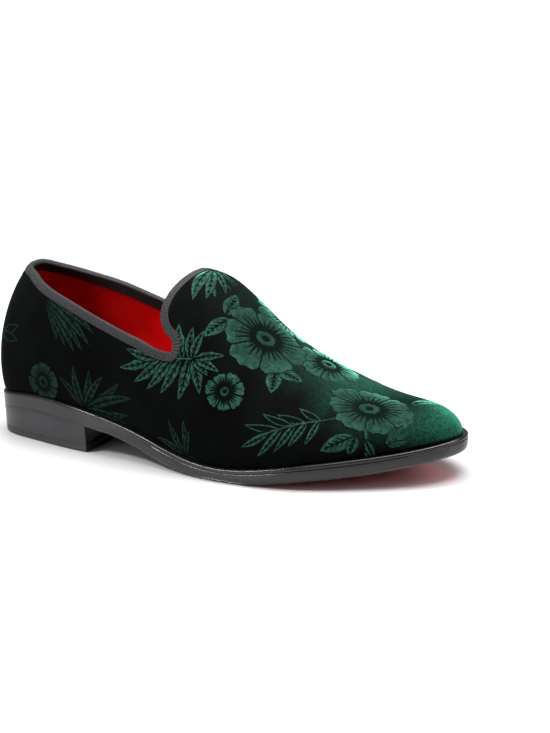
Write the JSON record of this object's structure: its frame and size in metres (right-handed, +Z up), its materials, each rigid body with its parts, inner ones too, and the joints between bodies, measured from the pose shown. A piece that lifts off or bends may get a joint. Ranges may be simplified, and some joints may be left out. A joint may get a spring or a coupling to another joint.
{
  "type": "velvet slipper loafer",
  "caption": "Men's velvet slipper loafer, right shoe: one-piece upper with ribbon-bound collar and tongue, dress sole with low heel.",
  "frame": {"origin": "bottom centre of the whole shoe's bounding box, on the floor", "axes": "+X from heel to toe, +Z up, -Y to the outer side of this right shoe"},
  "size_m": [0.2938, 0.1014, 0.1002],
  "materials": {
    "velvet": "dark green velvet with pressed flowers",
    "ribbon": "ribbed black ribbon",
    "sole": "satin black edge",
    "heel": "satin black",
    "top_lift": "matt black",
    "insole": "smooth red lining leather"
  },
  "bodies": {
    "root": {"upper": "velvet", "binding": "ribbon", "outsole": "sole", "heel_block": "heel", "top_lift": "top_lift", "insole": "insole"}
  },
  "joints": []
}
